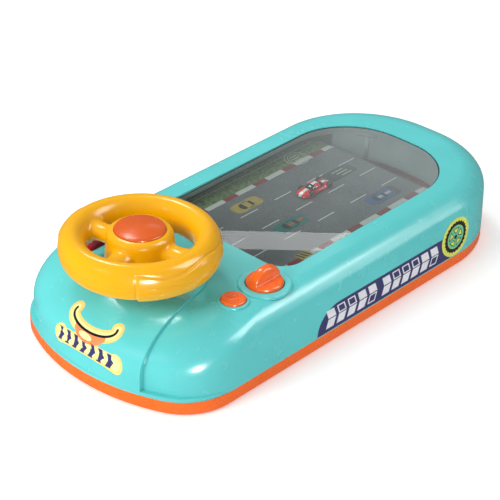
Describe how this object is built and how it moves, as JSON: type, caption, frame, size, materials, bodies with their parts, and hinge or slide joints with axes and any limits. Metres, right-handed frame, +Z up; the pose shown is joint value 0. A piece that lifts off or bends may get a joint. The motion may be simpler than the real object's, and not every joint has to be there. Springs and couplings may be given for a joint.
{
  "type": "tabletop racing game",
  "caption": "Battery tabletop racing game: steering wheel drives a magnet-led car over a scrolling printed road belt under a clear window, with horn, knob, button and speed lever.",
  "frame": {"origin": "centre of the footprint on the plane the rubber feet stand on", "axes": "+X to the player's right, +Y away from the player, +Z up"},
  "size_m": [0.1536, 0.33, 0.0845],
  "materials": {
    "case_teal": "glossy moulded teal",
    "base_orange": "glossy moulded orange",
    "window_clear": "clear polished pane",
    "cavity_grey": "satin grey",
    "steel": "bright plated steel",
    "foot_rubber": "matt black rubber",
    "battery_jacket": "printed foil jacket",
    "speaker_black": "black painted basket",
    "board_green": "solder-masked board",
    "black_plastic": "fine texture",
    "wire_red": "soft insulation",
    "chassis_grey": "moulded grey",
    "road_print": "printed flexible belt",
    "natural_plastic": "natural moulded",
    "roller_grey": "turned and slightly tacky",
    "motor_can": "drawn steel can",
    "wheel_yellow": "glossy moulded yellow",
    "control_orange": "glossy moulded orange",
    "cord": "braided cord",
    "magnet": "sintered ferrite",
    "car_red": "glossy red paint",
    "lever_red": "glossy crimson"
  },
  "bodies": {
    "case": {"upper_case": "case_teal", "lower_case": "base_orange", "window_lens": "window_clear", "cavity_frame": "cavity_grey", "battery_door": "base_orange", "case_screws": "steel", "small_screws": "steel", "rubber_feet": "foot_rubber", "batteries": "battery_jacket", "battery_contacts": "steel", "speaker": "speaker_black", "main_board": "board_green", "control_board": "board_green", "lever_board": "board_green", "ignition_switch": "black_plastic", "button_switch": "black_plastic", "slide_switch": "black_plastic", "wiring": "wire_red", "left_side_plate": "chassis_grey", "right_side_plate": "chassis_grey", "road_belt": "road_print", "road_bed": "chassis_grey", "roller_bushes": "natural_plastic", "gear_pins": "steel", "drive_motor": "motor_can", "motor_cradle": "chassis_grey", "steering_bush": "natural_plastic", "steering_bridge": "steel", "steering_cord": "cord", "pulley_pins": "steel", "guide_rods": "steel"},
    "wheel": {"wheel_top_shell": "wheel_yellow", "wheel_bottom_shell": "wheel_yellow", "wheel_screws": "steel", "steering_shaft": "steel", "cord_drum": "natural_plastic", "horn_switch": "black_plastic", "horn_spring": "steel"},
    "horn": {"horn_button": "control_orange"},
    "ignition": {"ignition_knob": "control_orange"},
    "sound": {"sound_button": "control_orange"},
    "lever": {"speed_lever": "lever_red"},
    "carriage": {"car_carriage": "chassis_grey", "drive_magnet": "magnet", "player_car": "car_red", "car_magnet": "magnet"},
    "front_right_pulley": {"pulley_front_right": "natural_plastic"},
    "front_left_pulley": {"pulley_front_left": "natural_plastic"},
    "side_right_pulley": {"pulley_side_right": "natural_plastic"},
    "side_left_pulley": {"pulley_side_left": "natural_plastic"},
    "belt_drive": {"drive_roller": "roller_grey", "drive_shaft": "steel", "drive_gear": "natural_plastic"},
    "belt_idler": {"idler_roller": "roller_grey"},
    "gear_a_body": {"gear_a": "natural_plastic"},
    "gear_b_body": {"gear_b": "natural_plastic"},
    "rotor": {"motor_rotor": "steel"}
  },
  "joints": [
    {"name": "steering", "type": "hinge", "parent": "case", "child": "wheel", "pos_m": [0, -0.1153, 0.071], "axis": [0, 0, 1], "range_deg": [-60, 32]},
    {"name": "horn_press", "type": "slide", "parent": "wheel", "child": "horn", "axis": [0, 0, -1], "range_m": [0, 0.0025], "deforming": ["horn_spring"]},
    {"name": "ignition_turn", "type": "hinge", "parent": "case", "child": "ignition", "pos_m": [0.054, -0.068, 0.048], "axis": [0, 0, 1], "range_deg": [-60, 0]},
    {"name": "sound_press", "type": "slide", "parent": "case", "child": "sound", "axis": [0, 0, -1], "range_m": [0, 0.002]},
    {"name": "speed_slide", "type": "slide", "parent": "case", "child": "lever", "axis": [0, 1, 0], "range_m": [0, 0.01]},
    {"name": "carriage_slide", "type": "slide", "parent": "case", "child": "carriage", "axis": [1, 0, 0], "range_m": [-0.0181, 0.0337]},
    {"name": "front_right_pulley_spin", "type": "hinge", "parent": "case", "child": "front_right_pulley", "pos_m": [0.0655, -0.08, 0.027], "axis": [0, 0, 1], "range_deg": [-427.67, 228.56]},
    {"name": "front_left_pulley_spin", "type": "hinge", "parent": "case", "child": "front_left_pulley", "pos_m": [-0.0655, -0.08, 0.027], "axis": [0, 0, 1], "range_deg": [-427.67, 228.56]},
    {"name": "side_right_pulley_spin", "type": "hinge", "parent": "case", "child": "side_right_pulley", "pos_m": [0.0655, 0.048, 0.027], "axis": [0, 0, 1], "range_deg": [-427.67, 228.56]},
    {"name": "side_left_pulley_spin", "type": "hinge", "parent": "case", "child": "side_left_pulley", "pos_m": [-0.0655, 0.048, 0.027], "axis": [0, 0, 1], "range_deg": [-427.67, 228.56]},
    {"name": "drive_spin", "type": "hinge", "parent": "case", "child": "belt_drive", "pos_m": [0, 0.098, 0.02901], "axis": [1, 0, 0], "continuous": true},
    {"name": "idler_spin", "type": "hinge", "parent": "case", "child": "belt_idler", "pos_m": [0, -0.048, 0.02698], "axis": [1, 0, 0], "continuous": true},
    {"name": "gear_b_spin", "type": "hinge", "parent": "case", "child": "gear_b_body", "pos_m": [0, 0.09199, 0.01659], "axis": [1, 0, 0], "continuous": true},
    {"name": "gear_a_spin", "type": "hinge", "parent": "case", "child": "gear_a_body", "pos_m": [0, 0.0783, 0.01827], "axis": [1, 0, 0], "continuous": true},
    {"name": "rotor_spin", "type": "hinge", "parent": "case", "child": "rotor", "pos_m": [0, 0.07248, 0.02876], "axis": [1, 0, 0], "continuous": true}
  ],
  "couplings": [
    {"joint": "carriage_slide", "follows": "steering", "m_per_rad": -0.032},
    {"joint": "front_right_pulley_spin", "follows": "steering", "ratio": 7.1111},
    {"joint": "front_left_pulley_spin", "follows": "steering", "ratio": 7.1111},
    {"joint": "side_right_pulley_spin", "follows": "steering", "ratio": 7.1111},
    {"joint": "side_left_pulley_spin", "follows": "steering", "ratio": 7.1111},
    {"joint": "idler_spin", "follows": "drive_spin", "ratio": 1},
    {"joint": "gear_b_spin", "follows": "drive_spin", "ratio": -3.6},
    {"joint": "gear_a_spin", "follows": "drive_spin", "ratio": 12.96},
    {"joint": "rotor_spin", "follows": "drive_spin", "ratio": -38.88}
  ]
}
